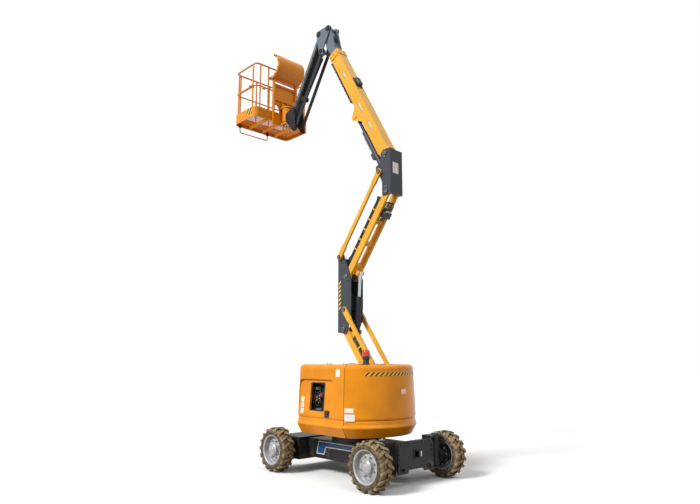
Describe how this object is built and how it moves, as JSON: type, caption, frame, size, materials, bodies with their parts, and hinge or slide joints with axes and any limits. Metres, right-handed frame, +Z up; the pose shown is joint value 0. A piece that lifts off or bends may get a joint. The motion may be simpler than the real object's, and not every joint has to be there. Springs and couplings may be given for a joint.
{
  "type": "articulating boom lift",
  "caption": "Wheeled articulating boom lift with slewing turntable, folding parallel risers, telescopic boom, parallel jib and a rotating railed work platform.",
  "frame": {"origin": "ground, below the middle of the overall box in the pose of the picture", "axes": "+Z up, the boom and platform point to -X, the steered axle is at +X, +Y is the machine's left"},
  "size_m": [4.454, 1.9, 8.1367],
  "materials": {
    "body_yellow": "gloss yellow paint",
    "structure_grey": "satin dark grey paint",
    "head_grey": "satin blue grey paint",
    "chassis_black": "satin black paint",
    "rim_silver": "silver paint",
    "tyre": "dusty rubber",
    "rod_chrome": "hard chrome",
    "machined_steel": "machined",
    "engine_iron": "painted casting",
    "lens_orange": "clear moulded plastic",
    "console_plastic": "moulded plastic"
  },
  "bodies": {
    "chassis": {"chassis_frame": "chassis_black", "front_axle": "chassis_black", "rear_axle": "chassis_black", "slewing_ring": "machined_steel", "steering_cylinder": "chassis_black"},
    "steering_rod": {"steering_rod": "rod_chrome"},
    "knuckle_left": {"knuckle_left": "chassis_black"},
    "knuckle_right": {"knuckle_right": "chassis_black"},
    "wheel_front_left": {"tyre_front_left": "tyre", "rim_front_left": "rim_silver"},
    "wheel_front_right": {"tyre_front_right": "tyre", "rim_front_right": "rim_silver"},
    "wheel_rear_left": {"tyre_rear_left": "tyre", "rim_rear_left": "rim_silver"},
    "wheel_rear_right": {"tyre_rear_right": "tyre", "rim_rear_right": "rim_silver"},
    "turntable": {"turntable_frame": "structure_grey", "counterweight": "body_yellow", "engine": "engine_iron", "oil_tank": "chassis_black", "control_box": "structure_grey", "beacon": "lens_orange"},
    "hood_left": {"hood_left": "body_yellow"},
    "hood_right": {"hood_right": "body_yellow"},
    "lower_arm": {"lower_arm": "body_yellow"},
    "lower_links": {"lower_links": "body_yellow"},
    "mast": {"mast": "structure_grey"},
    "upper_arm": {"upper_arm": "body_yellow"},
    "upper_links": {"upper_links": "body_yellow"},
    "riser_barrel": {"riser_barrel": "chassis_black"},
    "riser_rod": {"riser_rod": "rod_chrome"},
    "upright": {"upright": "structure_grey"},
    "boom": {"boom_tube": "body_yellow"},
    "boom_barrel": {"boom_barrel": "structure_grey"},
    "boom_rod": {"boom_rod": "chassis_black"},
    "boom_slide": {"boom_slide": "head_grey"},
    "level_head": {"level_head": "head_grey"},
    "jib": {"jib_beam": "chassis_black", "jib_barrel": "chassis_black"},
    "jib_links": {"jib_links": "chassis_black"},
    "jib_rod": {"jib_rod": "rod_chrome"},
    "jib_bracket": {"jib_bracket": "chassis_black"},
    "platform": {"platform_mount": "body_yellow", "platform_floor": "body_yellow", "platform_rails": "body_yellow", "control_console": "console_plastic"},
    "entry_bar": {"entry_bar": "body_yellow"}
  },
  "joints": [
    {"name": "steer_left", "type": "hinge", "parent": "chassis", "child": "knuckle_left", "pos_m": [1.89702, 0.6, 0.35], "axis": [0, 0, 1], "range_deg": [-35, 35]},
    {"name": "steer_right", "type": "hinge", "parent": "chassis", "child": "knuckle_right", "pos_m": [1.89702, -0.6, 0.35], "axis": [0, 0, 1], "range_deg": [-35, 35]},
    {"name": "steering_rod_slide", "type": "slide", "parent": "chassis", "child": "steering_rod", "axis": [0, 1, 0], "range_m": [-0.115, 0.115]},
    {"name": "wheel_front_left_spin", "type": "hinge", "parent": "knuckle_left", "child": "wheel_front_left", "pos_m": [1.89702, 0.83, 0.35], "axis": [0, 1, 0], "continuous": true},
    {"name": "wheel_front_right_spin", "type": "hinge", "parent": "knuckle_right", "child": "wheel_front_right", "pos_m": [1.89702, -0.83, 0.35], "axis": [0, 1, 0], "continuous": true},
    {"name": "wheel_rear_left_spin", "type": "hinge", "parent": "chassis", "child": "wheel_rear_left", "pos_m": [-0.28298, 0.83, 0.35], "axis": [0, 1, 0], "continuous": true},
    {"name": "wheel_rear_right_spin", "type": "hinge", "parent": "chassis", "child": "wheel_rear_right", "pos_m": [-0.28298, -0.83, 0.35], "axis": [0, 1, 0], "continuous": true},
    {"name": "turntable_slew", "type": "hinge", "parent": "chassis", "child": "turntable", "pos_m": [0.80702, 0, 0.65], "axis": [0, 0, 1], "range_deg": [-177.5, 177.5]},
    {"name": "hood_right_open", "type": "hinge", "parent": "turntable", "child": "hood_right", "pos_m": [0.80702, -0.236, 1.716], "axis": [-1, 0, 0], "range_deg": [0, 60]},
    {"name": "hood_left_open", "type": "hinge", "parent": "turntable", "child": "hood_left", "pos_m": [0.80702, 0.236, 1.716], "axis": [1, 0, 0], "range_deg": [0, 60]},
    {"name": "riser_lift", "type": "hinge", "parent": "turntable", "child": "lower_arm", "pos_m": [1.55102, 0, 0.994], "axis": [0, 1, 0], "range_deg": [-55, 18]},
    {"name": "lower_link_turn", "type": "hinge", "parent": "turntable", "child": "lower_links", "pos_m": [1.60102, 0, 1.321], "axis": [0, 1, 0], "range_deg": [-55, 18]},
    {"name": "mast_level", "type": "hinge", "parent": "lower_arm", "child": "mast", "pos_m": [0.59293, 0, 2.3127], "axis": [0, 1, 0], "range_deg": [-18, 55]},
    {"name": "upper_arm_lift", "type": "hinge", "parent": "mast", "child": "upper_arm", "pos_m": [0.65293, 0, 3.2097], "axis": [0, -1, 0], "range_deg": [-55, 18]},
    {"name": "upper_link_turn", "type": "hinge", "parent": "mast", "child": "upper_links", "pos_m": [0.52293, 0, 3.5517], "axis": [0, -1, 0], "range_deg": [-55, 18]},
    {"name": "upright_level", "type": "hinge", "parent": "upper_arm", "child": "upright", "pos_m": [1.61102, 0, 4.52839], "axis": [0, -1, 0], "range_deg": [-18, 55]},
    {"name": "riser_barrel_turn", "type": "hinge", "parent": "lower_arm", "child": "riser_barrel", "pos_m": [0.78627, 0, 2.26776], "axis": [0, 1, 0], "range_deg": [-20, 58]},
    {"name": "riser_rod_slide", "type": "slide", "parent": "riser_barrel", "child": "riser_rod", "axis": [0.0607, 0, 0.9982], "range_m": [-0.36, 0.12]},
    {"name": "boom_lift", "type": "hinge", "parent": "upright", "child": "boom", "pos_m": [1.59402, 0, 5.1794], "axis": [0, 1, 0], "range_deg": [-61, 14]},
    {"name": "boom_barrel_turn", "type": "hinge", "parent": "upright", "child": "boom_barrel", "pos_m": [1.44402, 0, 4.9294], "axis": [0, 1, 0], "range_deg": [-61, 15]},
    {"name": "boom_rod_slide", "type": "slide", "parent": "boom_barrel", "child": "boom_rod", "axis": [-0.4912, 0, 0.871], "range_m": [-0.278, 0.068]},
    {"name": "telescope", "type": "slide", "parent": "boom", "child": "boom_slide", "axis": [-0.4848, 0, 0.8746], "range_m": [0, 1]},
    {"name": "head_level", "type": "hinge", "parent": "boom_slide", "child": "level_head", "pos_m": [0.10343, 0, 8.07476], "axis": [0, 1, 0], "range_deg": [-14, 61]},
    {"name": "jib_lift", "type": "hinge", "parent": "level_head", "child": "jib", "pos_m": [-0.16657, 0, 8.05976], "axis": [0, 1, 0], "range_deg": [-16, 118]},
    {"name": "jib_link_turn", "type": "hinge", "parent": "level_head", "child": "jib_links", "pos_m": [-0.09657, 0, 7.67976], "axis": [0, 1, 0], "range_deg": [-16, 118]},
    {"name": "jib_rod_slide", "type": "slide", "parent": "jib", "child": "jib_rod", "axis": [0.5896, 0, 0.8077], "range_m": [-0.087, 0.62]},
    {"name": "bracket_level", "type": "hinge", "parent": "jib", "child": "jib_bracket", "pos_m": [-0.97702, 0, 6.72681], "axis": [0, 1, 0], "range_deg": [-118, 16]},
    {"name": "platform_rotate", "type": "hinge", "parent": "jib_bracket", "child": "platform", "pos_m": [-1.27702, 0, 6.68681], "axis": [0, 0, 1], "range_deg": [-80, 80]},
    {"name": "entry_bar_lift", "type": "hinge", "parent": "platform", "child": "entry_bar", "pos_m": [-1.62502, -0.672, 7.29181], "axis": [0, 1, 0], "range_deg": [0, 85]}
  ],
  "couplings": [
    {"joint": "steer_right", "follows": "steer_left", "ratio": 1},
    {"joint": "steering_rod_slide", "follows": "steer_left", "m_per_rad": -0.178},
    {"joint": "lower_link_turn", "follows": "riser_lift", "ratio": 1},
    {"joint": "mast_level", "follows": "riser_lift", "ratio": -1},
    {"joint": "upper_arm_lift", "follows": "riser_lift", "ratio": 1},
    {"joint": "upper_link_turn", "follows": "riser_lift", "ratio": 1},
    {"joint": "upright_level", "follows": "riser_lift", "ratio": -1},
    {"joint": "riser_barrel_turn", "follows": "riser_lift", "ratio": -1.03},
    {"joint": "riser_rod_slide", "follows": "riser_lift", "m_per_rad": 0.367},
    {"joint": "boom_barrel_turn", "follows": "boom_lift", "ratio": 0.98},
    {"joint": "boom_rod_slide", "follows": "boom_lift", "m_per_rad": 0.256},
    {"joint": "head_level", "follows": "boom_lift", "ratio": -1},
    {"joint": "jib_link_turn", "follows": "jib_lift", "ratio": 1},
    {"joint": "jib_rod_slide", "follows": "jib_lift", "m_per_rad": 0.296},
    {"joint": "bracket_level", "follows": "jib_lift", "ratio": -1}
  ]
}
